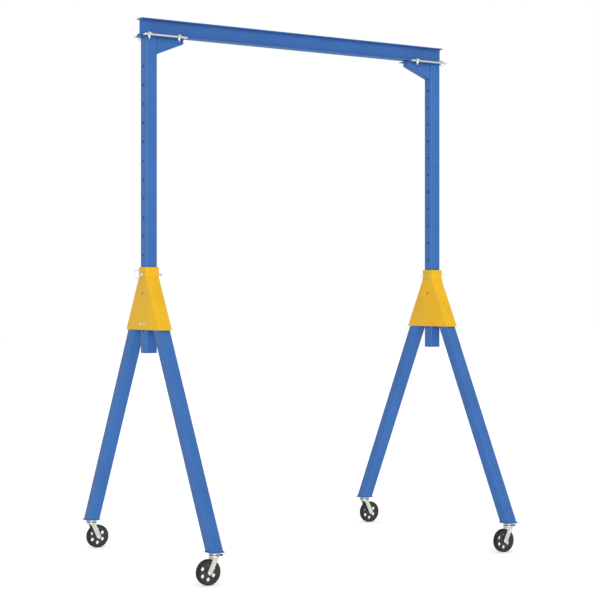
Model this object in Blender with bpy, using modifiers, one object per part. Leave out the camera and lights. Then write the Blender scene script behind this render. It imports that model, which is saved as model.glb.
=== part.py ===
"""Portable gantry crane: an I-beam on two telescoping, pin-locked A-frames that roll on casters.

Frame: metres, +Z up, origin on the floor under the middle of the beam. +X runs along the beam
and +Y runs away from the "near" legs towards the "far" legs. The crane stands at the height at
which both lock pins hold the beam 14 ft above the floor.
"""
import math

import bmesh
import bpy
from mathutils import Matrix

# ---------------------------------------------------------------- driving dimensions (metres)
CLEAR_HEIGHT = 4.2672           # floor to the underside of the beam, 14 ft
BEAM_LENGTH = 3.048             # 10 ft
BEAM_DEPTH = 0.134
FLANGE_WIDTH = 0.090
FLANGE_THICKNESS = 0.0095
WEB_THICKNESS = 0.0065
ROOT_RADIUS = 0.008

TUBE_SIZE = 0.1016              # 4 in square tube for posts and legs
TUBE_WALL = 0.00635
TUBE_RADIUS = 0.0127

POST_X = 1.4397                 # post centre line from the middle of the beam
POST_BOTTOM = 1.708
HOLE_PITCH = 0.1524             # 6 in
HOLE_COUNT = 15
TOP_HOLE_Z = 4.0170
PIN_HOLE_INDEX = 11             # hole that the lock pin goes through at this height
HOLE_RADIUS = 0.0103

PLATE_LENGTH = 0.385            # saddle plate under the beam
PLATE_WIDTH = 0.210
PLATE_THICKNESS = 0.0127
PLATE_OUTER_X = 1.5250
CLAMP_BOLT_X = (1.2080, 1.4800)
CLAMP_BOLT_Y = 0.086
CLAMP_BOLT_RADIUS = 0.00635
CLAMP_BOLT_REACH = 0.0280        # shank below the saddle plate
CLEAT_HALF_WIDTH = 0.0165
CLEAT_HEEL_HEIGHT = 0.0110
CLEAT_TOE_THICKNESS = 0.0100
CLEAT_GRIP = 0.0170              # toe over the flange

ARM_WIDTH = 0.076
ARM_TOE_X = 1.1415
ARM_ROOT_Z = 4.1150
ARM_TOE_Z = 4.2150
ARM_WALL = 0.0048

SHOE_HALF_X = 0.0573
SHOE_COLLAR_HALF_Y = 0.0688
SHOE_TOP = 2.3990
SHOE_FOLD = 2.3150
SHOE_BOTTOM = 1.8946
SHOE_BOTTOM_HALF_Y = 0.2890
SHOE_SHEET = 0.0050
SET_BOLT_Z = 1.9420
SET_BOLT_Y = 0.0340
GUIDE_HALF_WIDTH = 0.0350        # blocks inside the collar that centre the post
GUIDE_CLEARANCE = 0.0007
GUIDE_MARGIN = 0.0070            # collar left above and below the blocks

LEG_SLOPE = 0.5087              # outward run for each unit of drop
LEG_TOP = 2.0900
FOOT_Y = 1.0540                 # kingpin and foot plate, out from the post
FOOT_SIZE = 0.1143
FOOT_THICKNESS = 0.0095

CASTER_HEIGHT = 0.2413
CASTER_TRAIL = 0.0556
WHEEL_RADIUS = 0.0980
WHEEL_HALF_WIDTH = 0.0240
HUB_HALF_WIDTH = 0.0270
WHEEL_SIDES = 32
WHEEL_WEB_HALF = 0.0050
WHEEL_HOLE_RADIUS = 0.0145
WHEEL_HOLE_CIRCLE = 0.0550
AXLE_RADIUS = 0.00635
FORK_INNER_Y = 0.0280
FORK_THICKNESS = 0.0060
FORK_LEG_HALF_WIDTH = 0.0200
KINGPIN_RADIUS = 0.0080
CROWN_BOTTOM = 0.2125
CROWN_TOP = 0.2190
FORK_RACE_TOP = 0.2277
UPPER_RACE_BOTTOM = 0.2285
CROWN_RADIUS = 0.0465
FORK_RACE_RADIUS = 0.0400
UPPER_RACE_RADIUS = 0.0440
PEDAL_HALF_WIDTH = 0.0180        # swivel lock pedal of the near casters
PEDAL_REACH = 0.0680             # from the kingpin

PIN_RADIUS = 0.0095
PIN_OVERHANG = 0.0620           # pin tip past the shoe's inner face
PIN_HEAD_LENGTH = 0.0080
PIN_HEAD_RADIUS = 0.0160
PIN_STUB_LENGTH = 0.0140
RING_RADIUS = 0.0325
RING_WIRE = 0.0025

BOLT_FLATS = 0.0190             # across the flats of half-inch heads and nuts
KINGPIN_FLATS = 0.0240
GAP = 0.0003                    # clearance between neighbouring pieces
SMALL = 12                      # sides on bolts, pins and their holes

# ---------------------------------------------------------------- derived dimensions
PLATE_TOP = CLEAR_HEIGHT - GAP
PLATE_BOTTOM = PLATE_TOP - PLATE_THICKNESS
PIN_Z = TOP_HOLE_Z - PIN_HOLE_INDEX * HOLE_PITCH
SPARE_HOLE_Z = PIN_Z - HOLE_PITCH
FOOT_BOTTOM = CASTER_HEIGHT + GAP
FOOT_TOP = FOOT_BOTTOM + FOOT_THICKNESS

FINISHES = {                    # colour, metallic, roughness
    "blue_paint": ((0.055, 0.150, 0.450), 0.0, 0.40),
    "yellow_paint": ((0.850, 0.520, 0.040), 0.0, 0.40),
    "zinc_plate": ((0.640, 0.680, 0.640), 0.9, 0.35),
    "wheel_polymer": ((0.035, 0.037, 0.040), 0.0, 0.55),
}


# ---------------------------------------------------------------- scene helpers
def clear_scene():
    for thing in list(bpy.data.objects):
        bpy.data.objects.remove(thing, do_unlink=True)


def new_collection(name):
    collection = bpy.data.collections.new(name)
    bpy.context.scene.collection.children.link(collection)
    return collection


def principled(name, finish):
    """A material for one piece, in one of the crane's finishes."""
    colour, metallic, roughness = FINISHES[finish]
    material = bpy.data.materials.new(name)
    material.use_nodes = True
    shader = material.node_tree.nodes["Principled BSDF"]
    shader.inputs["Base Color"].default_value = (*colour, 1.0)
    shader.inputs["Metallic"].default_value = metallic
    shader.inputs["Roughness"].default_value = roughness
    material.diffuse_color = (*colour, 1.0)
    return material


def empty(name, location, turn, parent=None):
    """A frame that pieces are parented to, turned about Z."""
    frame = bpy.data.objects.new(name, None)
    frame.location = location
    frame.rotation_euler = (0.0, 0.0, turn)
    frame.parent = parent
    PARTS.objects.link(frame)
    return frame


def place(name, mesh, finish, parent, location=(0.0, 0.0, 0.0)):
    """One named sub-part, made from a mesh that its twins may share."""
    piece = bpy.data.objects.new(name, mesh)
    piece.location = location
    piece.parent = parent
    PARTS.objects.link(piece)
    piece.material_slots[0].link = "OBJECT"
    piece.material_slots[0].material = principled(name, finish)
    return piece


# ---------------------------------------------------------------- shape helpers
def finished(mesh):
    """Give a mesh outward faces, smooth round stretches and one empty material slot."""
    shape = bmesh.new()
    shape.from_mesh(mesh)
    bmesh.ops.remove_doubles(shape, verts=shape.verts, dist=0.000002)
    bmesh.ops.recalc_face_normals(shape, faces=shape.faces)
    shape.to_mesh(mesh)
    shape.free()
    mesh.shade_smooth()
    mesh.set_sharp_from_angle(angle=math.radians(40))
    mesh.materials.clear()
    mesh.materials.append(None)
    return mesh


def box(low, high):
    """A box between two corners."""
    shape = bmesh.new()
    bmesh.ops.create_cube(shape, size=1.0)
    size = [b - a for a, b in zip(low, high)]
    middle = [(a + b) / 2 for a, b in zip(low, high)]
    bmesh.ops.scale(shape, vec=size, verts=shape.verts)
    bmesh.ops.translate(shape, vec=middle, verts=shape.verts)
    mesh = bpy.data.meshes.new("box")
    shape.to_mesh(mesh)
    shape.free()
    return mesh


def drill(radius, start, end, axis, centre):
    """A ten-sided cutter whose flats touch the round hole that it stands for."""
    return rod(radius / math.cos(math.pi / 10), start, end, axis, centre, sides=10)


def rod(radius, start, end, axis="Z", centre=(0.0, 0.0), sides=SMALL, end_radius=None):
    """A cylinder or cone along X, Y or Z; centre is its place on the other two axes, in order."""
    shape = bmesh.new()
    tip = radius if end_radius is None else end_radius
    bmesh.ops.create_cone(
        shape, cap_ends=True, segments=sides, radius1=radius, radius2=tip, depth=end - start)
    middle = (start + end) / 2
    if axis == "X":
        turn = Matrix.Rotation(math.pi / 2, 4, "Y")
        offset = (middle, centre[0], centre[1])
    elif axis == "Y":
        turn = Matrix.Rotation(-math.pi / 2, 4, "X")
        offset = (centre[0], middle, centre[1])
    else:
        turn = Matrix.Identity(4)
        offset = (centre[0], centre[1], middle)
    bmesh.ops.transform(shape, matrix=Matrix.Translation(offset) @ turn, verts=shape.verts)
    mesh = bpy.data.meshes.new("rod")
    shape.to_mesh(mesh)
    shape.free()
    return mesh


def hexagon(across_flats, start, end, axis="Z", centre=(0.0, 0.0)):
    """A bolt head or nut."""
    return rod(across_flats / math.sqrt(3), start, end, axis, centre, sides=6)


def plate(outline, start, end, axis):
    """A flat outline extruded along X or Y; outline points are (other axis, z)."""
    curve = bpy.data.curves.new("outline", "CURVE")
    curve.dimensions = "2D"
    curve.fill_mode = "BOTH"
    curve.extrude = (end - start) / 2
    curve.render_resolution_u = 0
    spline = curve.splines.new("POLY")
    spline.points.add(len(outline) - 1)
    for point, (across, up) in zip(spline.points, outline):
        point.co = (across, up, 0.0, 1.0)
    spline.use_cyclic_u = True
    guide = bpy.data.objects.new("outline", curve)
    WORKSHOP.objects.link(guide)
    mesh = evaluated_mesh(guide)
    discard(guide)
    stand = Matrix.Rotation(math.pi / 2, 4, "X")
    middle = (start + end) / 2
    if axis == "X":
        matrix = Matrix.Translation((middle, 0.0, 0.0)) @ Matrix.Rotation(math.pi / 2, 4, "Z") @ stand
    else:
        matrix = Matrix.Translation((0.0, middle, 0.0)) @ stand
    mesh.transform(matrix)
    return finished(mesh)


def square_tube(length):
    """A square tube along Z from z = 0, with round corners, open at both ends."""
    skins = []
    for size, radius, low, high in (
            (TUBE_SIZE, TUBE_RADIUS, 0.0, length),
            (TUBE_SIZE - 2 * TUBE_WALL, TUBE_RADIUS - TUBE_WALL, -0.01, length + 0.01)):
        mesh = box((-size / 2, -size / 2, low), (size / 2, size / 2, high))
        shape = bmesh.new()
        shape.from_mesh(mesh)
        corners = [edge for edge in shape.edges
                   if abs(edge.verts[0].co.z - edge.verts[1].co.z) > length / 2]
        bmesh.ops.bevel(shape, geom=corners, offset=radius, segments=3, profile=0.5,
                        affect="EDGES")
        shape.to_mesh(mesh)
        shape.free()
        skins.append(mesh)
    return combine(skins[0], cut=[skins[1]])


def evaluated_mesh(thing):
    """The mesh of an object as its modifiers leave it."""
    bpy.context.view_layer.update()
    graph = bpy.context.evaluated_depsgraph_get()
    return bpy.data.meshes.new_from_object(thing.evaluated_get(graph), depsgraph=graph)


def discard(thing):
    bpy.data.objects.remove(thing, do_unlink=True)


def combine(mesh, join=(), cut=(), keep=()):
    """Union, difference and intersection of closed meshes, as one finished mesh."""
    target = bpy.data.objects.new("target", finished(mesh))
    WORKSHOP.objects.link(target)
    tools = []
    for operation, meshes in (("UNION", join), ("DIFFERENCE", cut), ("INTERSECT", keep)):
        for tool_mesh in meshes:
            tool = bpy.data.objects.new("cutter", finished(tool_mesh))
            tool.hide_render = True
            tool.display_type = "WIRE"
            WORKSHOP.objects.link(tool)
            tools.append(tool)
            modifier = target.modifiers.new(operation.lower(), "BOOLEAN")
            modifier.operation = operation
            modifier.solver = "EXACT"
            modifier.object = tool
    result = evaluated_mesh(target)
    for thing in [target, *tools]:
        discard(thing)
    return finished(result)


def turned(profile, sides):
    """A closed profile of (radius, height) points, turned about Z with a Screw modifier."""
    shape = bmesh.new()
    points = [shape.verts.new((radius, 0.0, height)) for radius, height in profile]
    for index, point in enumerate(points):
        shape.edges.new((point, points[(index + 1) % len(points)]))
    mesh = bpy.data.meshes.new("profile")
    shape.to_mesh(mesh)
    shape.free()
    guide = bpy.data.objects.new("profile", mesh)
    WORKSHOP.objects.link(guide)
    screw = guide.modifiers.new("turn", "SCREW")
    screw.steps = sides
    screw.render_steps = sides
    screw.use_merge_vertices = True
    screw.merge_threshold = 0.00001
    result = evaluated_mesh(guide)
    discard(guide)
    return finished(result)


# ---------------------------------------------------------------- upper frame
def i_beam_mesh():
    """Rolled section: two flanges and a web, with round roots."""
    corner_y = WEB_THICKNESS / 2 + ROOT_RADIUS
    corner_z = BEAM_DEPTH / 2 - FLANGE_THICKNESS - ROOT_RADIUS
    quarter = []
    for step in range(4):
        angle = math.radians(30 * step)
        quarter.append((corner_y - ROOT_RADIUS * math.cos(angle),
                        corner_z + ROOT_RADIUS * math.sin(angle)))
    quarter.append((FLANGE_WIDTH / 2, BEAM_DEPTH / 2 - FLANGE_THICKNESS))
    quarter.append((FLANGE_WIDTH / 2, BEAM_DEPTH / 2))
    outline = []
    for side_y, side_z in ((1, 1), (-1, 1), (-1, -1), (1, -1)):
        points = [(side_y * y, side_z * z) for y, z in quarter]
        if side_y * side_z < 0:
            points.reverse()
        outline.extend(points)
    middle = CLEAR_HEIGHT + BEAM_DEPTH / 2
    outline = [(y, middle + z) for y, z in outline]
    return plate(outline, -BEAM_LENGTH / 2, BEAM_LENGTH / 2, "X")


def post_mesh():
    """Upright with a ladder of pin holes, open below and capped by the saddle plate."""
    tube = square_tube(PLATE_BOTTOM - GAP - POST_BOTTOM)
    tube.transform(Matrix.Translation((0.0, 0.0, POST_BOTTOM)))
    drills = []
    for index in range(HOLE_COUNT):
        height = TOP_HOLE_Z - index * HOLE_PITCH
        drills.append(drill(HOLE_RADIUS, -0.06, 0.06, "X", (0.0, height)))
    return combine(tube, cut=drills)


def bracket_arm_mesh():
    """Box-section knee beside the post, open at the top where the saddle plate closes it."""
    root_x = TUBE_SIZE / 2 + GAP
    toe_x = POST_X - ARM_TOE_X
    top = PLATE_BOTTOM - GAP
    outer = [(root_x, ARM_ROOT_Z), (toe_x, ARM_TOE_Z), (toe_x, top), (root_x, top)]
    inner = [(root_x + ARM_WALL, ARM_ROOT_Z + 1.5 * ARM_WALL),
             (toe_x - ARM_WALL, ARM_TOE_Z + ARM_WALL),
             (toe_x - ARM_WALL, top + 0.01),
             (root_x + ARM_WALL, top + 0.01)]
    half = ARM_WIDTH / 2
    hollow = plate(inner, -half + ARM_WALL, half - ARM_WALL, "Y")
    return combine(plate(outer, -half, half, "Y"), cut=[hollow])


def saddle_plate_mesh():
    """Flat plate with four bolt holes, in the post's own frame: +X is inward along the beam."""
    outer_x = POST_X - PLATE_OUTER_X
    body = box((outer_x, -PLATE_WIDTH / 2, PLATE_BOTTOM),
               (outer_x + PLATE_LENGTH, PLATE_WIDTH / 2, PLATE_TOP))
    drills = []
    for bolt_x in CLAMP_BOLT_X:
        for bolt_y in (-CLAMP_BOLT_Y, CLAMP_BOLT_Y):
            drills.append(drill(CLAMP_BOLT_RADIUS + GAP, PLATE_BOTTOM - 0.01, PLATE_TOP + 0.01,
                                "Z", (POST_X - bolt_x, bolt_y)))
    return combine(body, cut=drills)


def cleat_mesh():
    """Clamp cleat at x = 0 on the +Y side: its heel sits on the plate, its toe on the flange."""
    heel_top = CLEAR_HEIGHT + CLEAT_HEEL_HEIGHT
    toe_bottom = CLEAR_HEIGHT + FLANGE_THICKNESS + GAP
    toe_top = toe_bottom + CLEAT_TOE_THICKNESS
    flange_edge = FLANGE_WIDTH / 2
    heel = PLATE_WIDTH / 2 - 0.0005
    outline = [(heel, CLEAR_HEIGHT),
               (heel, heel_top),
               (flange_edge + 0.020, heel_top),
               (flange_edge + 0.010, toe_top),
               (flange_edge - CLEAT_GRIP, toe_top),
               (flange_edge - CLEAT_GRIP, toe_bottom),
               (flange_edge + 0.001, toe_bottom),
               (flange_edge + 0.001, CLEAR_HEIGHT)]
    bore = drill(CLAMP_BOLT_RADIUS + GAP, CLEAR_HEIGHT - 0.01, toe_top + 0.01, "Z",
                 (0.0, CLAMP_BOLT_Y))
    return combine(plate(outline, -CLEAT_HALF_WIDTH, CLEAT_HALF_WIDTH, "X"), cut=[bore])


def clamp_bolt_mesh():
    """Dome-headed bolt at x = y = 0 with its nut below the saddle plate."""
    seat = CLEAR_HEIGHT + CLEAT_HEEL_HEIGHT + GAP
    shank = rod(CLAMP_BOLT_RADIUS, PLATE_BOTTOM - CLAMP_BOLT_REACH, seat + 0.0010)
    head = rod(0.0130, seat, seat + 0.0055, end_radius=0.0085)
    nut = hexagon(BOLT_FLATS, PLATE_BOTTOM - GAP - 0.0110, PLATE_BOTTOM - GAP)
    return combine(shank, join=[head, nut])


def build_upper_frame(side_frames):
    upper = empty("upper_frame", (0.0, 0.0, 0.0), 0.0)
    place("i_beam", i_beam_mesh(), "blue_paint", upper)
    pieces = (
        ("post", post_mesh(), "blue_paint"),
        ("bracket_arm", bracket_arm_mesh(), "blue_paint"),
        ("saddle_plate", saddle_plate_mesh(), "zinc_plate"),
    )
    far_cleat = cleat_mesh()
    near_cleat = far_cleat.copy()
    near_cleat.transform(Matrix.Rotation(math.pi, 4, "Z"))
    bolt = clamp_bolt_mesh()
    for side, (x, turn) in side_frames.items():
        frame = empty(side + "_upright", (x, 0.0, 0.0), turn, upper)
        for name, mesh, finish in pieces:
            place(side + "_" + name, mesh, finish, frame)
        away, towards = row_names(side)
        for order, bolt_x in (("inner", CLAMP_BOLT_X[0]), ("outer", CLAMP_BOLT_X[1])):
            local_x = POST_X - bolt_x
            for row, cleat, y in ((away, far_cleat, CLAMP_BOLT_Y),
                                  (towards, near_cleat, -CLAMP_BOLT_Y)):
                stem = side + "_" + order + "_" + row
                place(stem + "_cleat", cleat, "zinc_plate", frame, (local_x, 0.0, 0.0))
                place(stem + "_clamp_bolt", bolt, "zinc_plate", frame, (local_x, y, 0.0))


# ---------------------------------------------------------------- base
def shoe_outline(inset, below, above):
    """Half widths of the hood against height: a straight collar above a flared skirt."""
    flare = (SHOE_BOTTOM_HALF_Y - SHOE_COLLAR_HALF_Y) / (SHOE_FOLD - SHOE_BOTTOM)
    collar = SHOE_COLLAR_HALF_Y - inset
    bottom = SHOE_BOTTOM_HALF_Y - inset * math.hypot(1.0, flare) + flare * below
    half = [(bottom, SHOE_BOTTOM - below), (collar, SHOE_FOLD), (collar, SHOE_TOP + above)]
    return half + [(-y, z) for y, z in reversed(half)]


def shoe_mesh():
    """Folded sheet hood that holds the post in its collar and the leg tops in its skirt."""
    hood = plate(shoe_outline(0.0, 0.0, 0.0), -SHOE_HALF_X, SHOE_HALF_X, "X")
    inner_x = SHOE_HALF_X - SHOE_SHEET
    hollow = plate(shoe_outline(SHOE_SHEET, 0.01, 0.01), -inner_x, inner_x, "X")
    hood = combine(hood, cut=[hollow])
    guides = []
    for side in (-1, 1):
        near, far = sorted((side * (TUBE_SIZE / 2 + GUIDE_CLEARANCE),
                            side * (SHOE_COLLAR_HALF_Y - SHOE_SHEET / 2)))
        guides.append(box((-GUIDE_HALF_WIDTH, near, SHOE_FOLD + GUIDE_MARGIN),
                          (GUIDE_HALF_WIDTH, far, SHOE_TOP - GUIDE_MARGIN)))
    drills = []
    for height in (PIN_Z, SPARE_HOLE_Z):
        drills.append(drill(HOLE_RADIUS, -0.07, 0.07, "X", (0.0, height)))
    for side in (-1, 1):
        drills.append(drill(AXLE_RADIUS + GAP, -0.07, -0.03, "X", (side * SET_BOLT_Y, SET_BOLT_Z)))
    return combine(hood, join=guides, cut=drills)


def set_bolt_mesh():
    """Hex bolt through the shoe's outer face, its tip just off the post; y = 0, z = 0."""
    face = -SHOE_HALF_X - GAP
    shank = rod(AXLE_RADIUS, face - 0.0110, -TUBE_SIZE / 2 - GAP, "X")
    washer = rod(0.0140, face - 0.0025, face, "X")
    head = hexagon(BOLT_FLATS, face - 0.0105, face - 0.0020, "X")
    return combine(shank, join=[washer, head])


def leg_mesh():
    """Slanting tube on the +Y side, cut level at both ends, with its foot plate welded on."""
    angle = math.atan(LEG_SLOPE)
    length = (LEG_TOP - FOOT_BOTTOM) / math.cos(angle) + 0.20
    tube = square_tube(length)
    lean = (Matrix.Translation((0.0, FOOT_Y, FOOT_BOTTOM))
            @ Matrix.Rotation(angle, 4, "X") @ Matrix.Translation((0.0, 0.0, -0.10)))
    tube.transform(lean)
    window = box((-0.10, 0.0, FOOT_BOTTOM + FOOT_THICKNESS / 2), (0.10, 1.3, LEG_TOP))
    tube = combine(tube, keep=[window])
    half = FOOT_SIZE / 2
    foot = box((-half, FOOT_Y - half, FOOT_BOTTOM), (half, FOOT_Y + half, FOOT_TOP))
    return combine(tube, join=[foot])


def upper_race_mesh():
    """Upper half of the swivel's ball race, fixed under the foot plate and bored for the kingpin."""
    race = rod(UPPER_RACE_RADIUS, UPPER_RACE_BOTTOM, CASTER_HEIGHT, sides=24)
    bore = drill(KINGPIN_RADIUS + GAP, 0.20, 0.26, "Z", (0.0, 0.0))
    return combine(race, cut=[bore])


def kingpin_mesh():
    """Kingpin with the nut that keeps the fork on it."""
    nut_top = CROWN_BOTTOM - 0.0005
    pin = rod(KINGPIN_RADIUS, nut_top - 0.0090, CASTER_HEIGHT - GAP)
    nut = hexagon(KINGPIN_FLATS, nut_top - 0.0085, nut_top)
    return combine(pin, join=[nut])


def fork_mesh():
    """Crown, lower race and two flat straps, from the kingpin's line down to the axle, which is
    CASTER_TRAIL along +X; the straps have parallel sides and a round foot."""
    strap_top = CROWN_TOP - 0.002
    lean = math.atan2(strap_top - WHEEL_RADIUS, -CASTER_TRAIL)
    half_across = FORK_LEG_HALF_WIDTH / math.sin(lean)
    outline = [(half_across, strap_top), (-half_across, strap_top)]
    for step in range(7):
        angle = lean + math.pi / 2 + math.pi * step / 6
        outline.append((CASTER_TRAIL + FORK_LEG_HALF_WIDTH * math.cos(angle),
                        WHEEL_RADIUS + FORK_LEG_HALF_WIDTH * math.sin(angle)))
    legs = []
    for side in (-1, 1):
        start, end = sorted((side * FORK_INNER_Y, side * (FORK_INNER_Y + FORK_THICKNESS)))
        legs.append(plate(outline, start, end, "Y"))
    crown = rod(CROWN_RADIUS, CROWN_BOTTOM, CROWN_TOP, sides=24)
    race = rod(FORK_RACE_RADIUS, CROWN_TOP - 0.001, FORK_RACE_TOP, sides=24)
    bore = drill(KINGPIN_RADIUS + GAP, 0.19, 0.24, "Z", (0.0, 0.0))
    axle = drill(AXLE_RADIUS + GAP, -0.05, 0.05, "Y", (CASTER_TRAIL, WHEEL_RADIUS))
    return combine(crown, join=[race, *legs], cut=[bore, axle])


def brake_pedal_mesh():
    """Pedal on the crown's leading side, away from the wheel, with a raised toe."""
    heel = -CROWN_RADIUS - GAP
    outline = [(heel, CROWN_BOTTOM + 0.0010), (heel, CROWN_TOP), (heel - 0.0090, CROWN_TOP + 0.0010),
               (-PEDAL_REACH + 0.0015, CROWN_TOP + 0.0055), (-PEDAL_REACH, CROWN_TOP + 0.0015),
               (heel - 0.0110, CROWN_BOTTOM + 0.0020)]
    return finished(plate(outline, -PEDAL_HALF_WIDTH, PEDAL_HALF_WIDTH, "Y"))


def axle_bolt_mesh():
    """Axle bolt along Y with its head and nut outside the fork; centred on the axle."""
    outside = FORK_INNER_Y + FORK_THICKNESS + GAP
    shank = rod(AXLE_RADIUS, -outside - 0.0070, outside + 0.0120, "Y")
    head = hexagon(BOLT_FLATS, -outside - 0.0080, -outside, "Y")
    nut = hexagon(BOLT_FLATS, outside, outside + 0.0100, "Y")
    return combine(shank, join=[head, nut])


def wheel_mesh():
    """Moulded wheel about the Y axis, with a flat facet underneath and six holes in its web."""
    circle = WHEEL_RADIUS / math.cos(math.pi / WHEEL_SIDES)
    half = [(AXLE_RADIUS + GAP, HUB_HALF_WIDTH), (0.0190, HUB_HALF_WIDTH), (0.0230, WHEEL_WEB_HALF),
            (0.0750, WHEEL_WEB_HALF), (0.0790, WHEEL_HALF_WIDTH), (circle - 0.0080, WHEEL_HALF_WIDTH)]
    for step in (1, 2):
        angle = math.radians(45 * step)
        half.append((circle - 0.0080 + 0.0080 * math.sin(angle),
                     WHEEL_HALF_WIDTH - 0.0080 + 0.0080 * math.cos(angle)))
    profile = half + [(radius, -height) for radius, height in reversed(half)]
    body = turned(profile, WHEEL_SIDES)
    body.transform(Matrix.Rotation(math.pi / 2, 4, "X"))
    body.transform(Matrix.Rotation(math.pi / WHEEL_SIDES, 4, "Y"))
    drills = []
    for index in range(6):
        angle = math.radians(30 + 60 * index)
        centre = (WHEEL_HOLE_CIRCLE * math.cos(angle), WHEEL_HOLE_CIRCLE * math.sin(angle))
        drills.append(drill(WHEEL_HOLE_RADIUS, -0.03, 0.03, "Y", centre))
    return combine(body, cut=drills)


def build_base(side, x, turn, meshes):
    """Shoe, legs and casters of one A-frame, in a frame whose +X points inward."""
    frame = empty(side + "_base", (x, 0.0, 0.0), turn)
    place(side + "_shoe", meshes["shoe"], "yellow_paint", frame)
    away, towards = row_names(side)
    for row, y in ((away, 1), (towards, -1)):
        stem = side + "_" + row
        leg_frame = empty(stem + "_quarter", (0.0, 0.0, 0.0), 0.0 if y > 0 else math.pi, frame)
        place(stem + "_leg", meshes["leg"], "blue_paint", leg_frame)
        place(stem + "_set_bolt", meshes["set_bolt"], "zinc_plate", frame,
              (0.0, y * SET_BOLT_Y, SET_BOLT_Z))
        caster = empty(stem + "_caster", (0.0, FOOT_Y, 0.0), 0.0, leg_frame)
        place(stem + "_upper_race", meshes["upper_race"], "zinc_plate", caster)
        place(stem + "_kingpin", meshes["kingpin"], "zinc_plate", caster)
        place(stem + "_fork", meshes["fork"], "zinc_plate", caster)
        axle = (CASTER_TRAIL, 0.0, WHEEL_RADIUS)
        place(stem + "_wheel", meshes["wheel"], "wheel_polymer", caster, axle)
        place(stem + "_axle_bolt", meshes["axle_bolt"], "zinc_plate", caster, axle)
        if row == "near":
            place(stem + "_brake_pedal", meshes["brake_pedal"], "wheel_polymer", caster)


# ---------------------------------------------------------------- lock pins
def lock_pin_mesh():
    """Pin along X at y = z = 0, its head against the shoe's outer face at -X."""
    head_start = -SHOE_HALF_X - GAP - PIN_HEAD_LENGTH
    tip = SHOE_HALF_X + PIN_OVERHANG
    shank = rod(PIN_RADIUS, head_start - PIN_STUB_LENGTH, tip - 0.006, "X", sides=16)
    point = rod(PIN_RADIUS - 0.0002, tip - 0.007, tip, "X", sides=16, end_radius=0.0065)
    head = rod(PIN_HEAD_RADIUS, head_start, head_start + PIN_HEAD_LENGTH, "X")
    ring_sag = RING_RADIUS - math.sqrt(RING_RADIUS ** 2 - PIN_RADIUS ** 2)
    eye_x = head_start - PIN_STUB_LENGTH / 2 - ring_sag / 2
    eye = drill(RING_WIRE + ring_sag / 2 + GAP, -0.02, 0.02, "Z", (eye_x, 0.0))
    return combine(shank, join=[point, head], cut=[eye])


def pin_ring_mesh():
    """Wire pull ring in the XZ plane, through the eye in the pin's outer end."""
    guide = bpy.data.curves.new("ring", "CURVE")
    guide.dimensions = "3D"
    guide.bevel_depth = RING_WIRE
    guide.bevel_resolution = 1
    guide.render_resolution_u = 0
    spline = guide.splines.new("POLY")
    steps = 24
    spline.points.add(steps - 1)
    eye_x = -SHOE_HALF_X - GAP - PIN_HEAD_LENGTH - PIN_STUB_LENGTH / 2
    for index, point in enumerate(spline.points):
        angle = 2 * math.pi * index / steps
        point.co = (eye_x - RING_RADIUS + RING_RADIUS * math.cos(angle), 0.0,
                    RING_RADIUS * math.sin(angle), 1.0)
    spline.use_cyclic_u = True
    wire = bpy.data.objects.new("ring", guide)
    WORKSHOP.objects.link(wire)
    mesh = evaluated_mesh(wire)
    discard(wire)
    return finished(mesh)


def build_lock_pins(side_frames):
    pin = lock_pin_mesh()
    ring = pin_ring_mesh()
    for side, (x, turn) in side_frames.items():
        frame = empty(side + "_pin_frame", (x, 0.0, PIN_Z), turn)
        place(side + "_lock_pin", pin, "zinc_plate", frame)
        place(side + "_pin_ring", ring, "zinc_plate", frame)


# ---------------------------------------------------------------- assembly
def row_names(side):
    """Names of the rows at a side frame's own +Y and -Y; the right frame is turned half round."""
    return ("far", "near") if side == "left" else ("near", "far")


def main():
    side_frames = {"left": (-POST_X, 0.0), "right": (POST_X, math.pi)}
    build_upper_frame(side_frames)
    base_meshes = {
        "shoe": shoe_mesh(),
        "leg": leg_mesh(),
        "set_bolt": set_bolt_mesh(),
        "upper_race": upper_race_mesh(),
        "kingpin": kingpin_mesh(),
        "fork": fork_mesh(),
        "brake_pedal": brake_pedal_mesh(),
        "wheel": wheel_mesh(),
        "axle_bolt": axle_bolt_mesh(),
    }
    for side, (x, turn) in side_frames.items():
        build_base(side, x, turn, base_meshes)
    build_lock_pins(side_frames)


clear_scene()
PARTS = new_collection("portable_gantry_crane")
WORKSHOP = new_collection("cutters")
main()
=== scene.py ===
"""Portable gantry crane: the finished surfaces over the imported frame, and the studio round it.

Metres, +Z up. +X runs along the beam and the near legs stand at -Y. Every piece is modelled in
the crane's own frame, with its object at the origin, and rides on the CAD body that it belongs to.
"""
import math

import bmesh
import bpy
from bpy.props import FloatProperty, FloatVectorProperty, IntProperty, PointerProperty
from mathutils import Matrix, Vector


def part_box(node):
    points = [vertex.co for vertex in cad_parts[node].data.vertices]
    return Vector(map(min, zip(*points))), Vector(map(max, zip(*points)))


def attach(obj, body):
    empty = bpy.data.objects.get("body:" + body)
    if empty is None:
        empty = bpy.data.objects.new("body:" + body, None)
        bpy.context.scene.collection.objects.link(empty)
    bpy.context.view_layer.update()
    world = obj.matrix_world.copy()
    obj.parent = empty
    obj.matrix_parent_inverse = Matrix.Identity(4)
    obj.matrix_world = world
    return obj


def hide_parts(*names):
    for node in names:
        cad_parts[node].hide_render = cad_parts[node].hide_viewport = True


bl_info = {
    "name": "Portable Gantry Crane",
    "version": (1, 0, 0),
    "blender": (4, 5, 0),
    "location": "View3D > Sidebar > Gantry",
    "description": "Finished beam, posts, shoes, legs, pins and casters of a rolling gantry crane",
    "category": "Object",
}

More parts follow.
